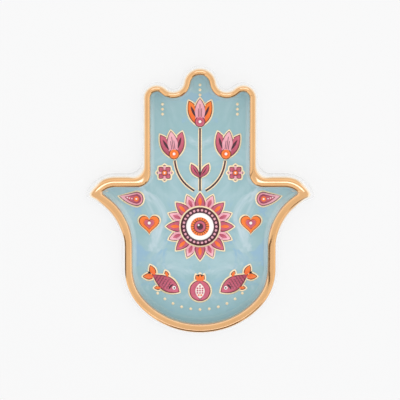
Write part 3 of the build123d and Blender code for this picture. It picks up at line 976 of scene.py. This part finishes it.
motifs = {
    "eye_medallion": ("rose_enamel", placed(drawn(drawMedallion), (0, medallionY))),
    "medallion_eye": ("white_enamel", placed(drawn(drawEye), (0, medallionY))),
    "middle_tulip": ("orange_enamel", placed(drawn(drawTulip, "orange", "pink", "rose"), (0, middleTulipY))),
    "middle_stem": ("burgundy_enamel", placed(drawn(drawMiddleStem, stemFoot, middleTulipY - margin))),
    "pomegranate": ("rose_enamel", placed(drawn(drawPomegranate), (0, heel + fruit["height"]))),
    "heel_dots": ("gold_lustre", placed(drawn(drawDots, heelPlaces))),
    "finger_dots": ("gold_lustre", placed(drawn(drawDots, fingerPlaces))),
}
pairs = {
    "tulip": ("rose_enamel", drawn(drawTulip, "rose", "pink", "orange"), sideTulip, -tulip["lean"]),
    "stem": ("burgundy_enamel", drawn(drawSideStem, *stemEnds)),
    "star": ("pink_enamel", drawn(drawStar), starPlace),
    "heart": ("orange_enamel", drawn(drawHeart), heartPlace),
    "paisley": ("pink_enamel", drawn(drawPaisley), paisleyPlace),
    "fish": ("rose_enamel", drawn(drawFish), fishPlace, fish["tilt"]),
}
for kind, (slotName, art, *where) in pairs.items():
    motifs["right_" + kind] = (slotName, placed(art, *where))
    motifs["left_" + kind] = (slotName, placed(art, *where, mirrored=True))
print("motifs drawn:", len(motifs))

halo = dict(cell=0.4, blur=1.5, cells=12, gain=1.6, strength=0.3)


# Soft shade round the motifs: their points on a fine grid, blurred by two bell curves
def motifShade(plan):
    cell = halo["cell"]
    size = np.array([hand["width"], hand["length"]])
    shape = (size / cell).astype(int)

    def gridPlaces(points):
        places = np.floor((points + size / 2) / cell).astype(int)
        return tuple(places.clip(0, shape - 1).T)

    cover = np.zeros(shape)
    cover[gridPlaces(np.concatenate([motif["plan"] for _, motif in motifs.values()]))] = 1.0
    reach = np.arange(-halo["cells"], halo["cells"] + 1) * cell
    bell = np.exp(-0.5 * (reach / halo["blur"]) ** 2)
    bell /= bell.sum()
    for axis in (0, 1):
        cover = np.apply_along_axis(np.convolve, axis, cover, bell, "same")
    return np.clip(cover[gridPlaces(plan)] * halo["gain"], 0, 1) * halo["strength"]


def buildMotifs():
    for node, (slotName, motif) in motifs.items():
        points = np.column_stack([motif["plan"], groundHeight(motif["plan"]) + motif["height"]])
        makePiece(node + ".print", points, motif["faces"], list(inks.values()), node, motif["ink"],
                  {"tone": motif["tone"]})


# 1 for rays from the camera, from gloss and through glass
def seenRays(near):
    rays = addNode(near, "LightPath").outputs
    seen = rays["Is Camera Ray"]
    for label in ("Is Glossy Ray", "Is Transmission Ray"):
        seen = calculate("MAXIMUM", seen, rays[label])
    return seen


def addCard(name, corners, material):
    mesh = bpy.data.meshes.new(name)
    mesh.from_pydata(corners, [], [(0, 1, 2, 3)])
    mesh.uv_layers.new(name="card").data.foreach_set("uv", [0.0, 0.0, 1.0, 0.0, 1.0, 1.0, 0.0, 1.0])
    mesh.materials.append(material)
    card = addObject(name, mesh)
    return card


stage = dict(reach=2.0, tone=(247, 247, 247), ownLight=0.8)


# Floor: one wide pale sheet. To the camera, and in gloss and glass, most of it glows in its own tone
def buildFloor():
    reach, tone = stage["reach"], linear(*stage["tone"])
    material, shader, _ = newMaterial("paleFloor", Roughness=0.9, Base_Color=tone)
    share = product(seenRays(shader), stage["ownLight"])
    glow = addNode(shader, "Emission", {"Color": tone, "Strength": 1.0}).outputs[0]
    mixed = addNode(shader, "MixShader", {0: share, 1: shader.outputs[0], 2: glow}).outputs[0]
    setSockets(material.node_tree.nodes["Material Output"], Surface=mixed)
    corners = [(-reach, -reach, 0), (reach, -reach, 0), (reach, reach, 0), (-reach, reach, 0)]
    addCard("paleFloor", corners, material)


# Spans of the sky, 0 at the horizon and 1 overhead, then levels of light. unlitEdge has 1 at its middle
studio = dict(
    dome=(0.0, 0.6, 0.5, 0.88), band=(0.0, 0.5, 0.93, 1.18), zenith=(0.62, 0.98, 1.0, 0.78),
    unlit=(0.17, -0.98), unlitEdge=(0.76, 0.88), unlitLow=(0.09, 0.13), unlitHigh=(0.62, 0.72), darkest=0.12,
)


# World: a dim dome for soft light. The camera, gloss and glass see a pale studio instead, with an unlit place
# in front that the gold picks up
def buildWorld():
    world = bpy.data.worlds.new("studio")
    bpy.context.scene.world = world
    world.use_nodes = True
    sky = world.node_tree.nodes["Background"]
    axes = splitAxes(addNode(sky, "TexCoord").outputs["Generated"])
    height = axes["Z"]
    flat = addNode(sky, "CombineXYZ", {"X": axes["X"], "Y": axes["Y"]}).outputs[0]
    compass = addNode(sky, "VectorMath", {0: flat}, operation="NORMALIZE").outputs[0]
    aim = {0: compass, 1: (*studio["unlit"], 0.0)}
    facing = addNode(sky, "VectorMath", aim, operation="DOT_PRODUCT").outputs["Value"]
    dark = product(spread(facing, *studio["unlitEdge"]), spread(height, *studio["unlitLow"]),
                   spread(height, *studio["unlitHigh"], 1.0, 0.0))
    level = product(spread(height, *studio["band"]), spread(height, *studio["zenith"]),
                    spread(dark, 0.0, 1.0, 1.0, studio["darkest"]))
    dome = spread(height, *studio["dome"])
    setSockets(sky, Color=spread(seenRays(sky), 0.0, 1.0, dome, level))


# Two ends on the ground plan, lowest and highest level, and where along it and up it the dark begins and ends
flags = dict(
    leftFlag=(
        (-0.616, -0.23), (-0.205, -0.0385), (0.02, 0.85), (0.0, 0.6, 0.92, 1.0), (-0.2, -0.1, 0.9, 1.0),
    ),
    frontFlag=((0.08, -0.16), (-0.06, -0.16), (0.004, 0.2), (0.0, 0.15, 0.85, 1.0), (-0.2, -0.1, 0.28, 1.0)),
)
flagTones = dict(dark=(110, 98, 86), pale=(250, 250, 250))


# Flags: two cards with a dark middle, seen in gloss alone, for the dark lines along the gold of the palm and
# the heel. The left one stands edge-on to the fingers, which have no such line
def buildFlags():
    for name, (first, second, (low, high), *spans) in flags.items():
        material, shader, _ = newMaterial(name, Roughness=0.9)
        axes = splitAxes(addNode(shader, "TexCoord").outputs["UV"])
        shares = []
        for axis, (start, full, fade, stop) in zip("XY", spans):
            shares += [spread(axes[axis], start, full), spread(axes[axis], fade, stop, 1.0, 0.0)]
        setSockets(shader, Base_Color=mixColours(product(*shares), flagTones["pale"], flagTones["dark"]))
        card = addCard(name, [(*first, low), (*second, low), (*second, high), (*first, high)], material)
        card.visible_camera = card.visible_diffuse = card.visible_shadow = card.visible_transmission = False


# Place, width, depth, power, colour and whether it shows in gloss
lamps = dict(
    key=((0.0, -0.365, 1.12), 0.34, 0.16, 0.6, (0.44, 0.57, 1.0), True),
    top=((0.1, 0.15, 1.2), 0.6, 0.6, 3.55, (1.0, 0.985, 0.955), False),
)


def buildLamps():
    for name, (place, width, depth, power, colour, inGloss) in lamps.items():
        lamp = bpy.data.lights.new(name, "AREA")
        lamp.shape, lamp.size, lamp.size_y, lamp.energy, lamp.color = "RECTANGLE", width, depth, power, colour
        holder = addObject(name, lamp)
        holder.location = place
        holder.rotation_euler = (-Vector(place)).to_track_quat("-Z", "Y").to_euler()
        holder.visible_glossy = inGloss


view = dict(lean=5.5, lens=150.0, sensor=36.0, field=208.0, aim=(0.0, 0.4, 11.0))


# Camera: almost straight above, leaning a little towards the fingers
def buildCamera():
    camera = bpy.data.cameras.new("camera")
    camera.lens, camera.sensor_width = view["lens"], view["sensor"]
    distance = view["field"] * view["lens"] / view["sensor"]
    lean = math.radians(view["lean"])
    holder = addObject("camera", camera)
    holder.location = (np.array(view["aim"]) + distance * np.array([0, math.sin(lean), math.cos(lean)])) * mm
    holder.rotation_euler = (-lean, 0, 0)
    bpy.context.scene.camera = holder


buildGround()
buildMotifs()
print("ground and motifs built")
buildFloor()
buildWorld()
buildFlags()
buildLamps()
buildCamera()
bpy.context.scene.view_settings.view_transform = "Standard"
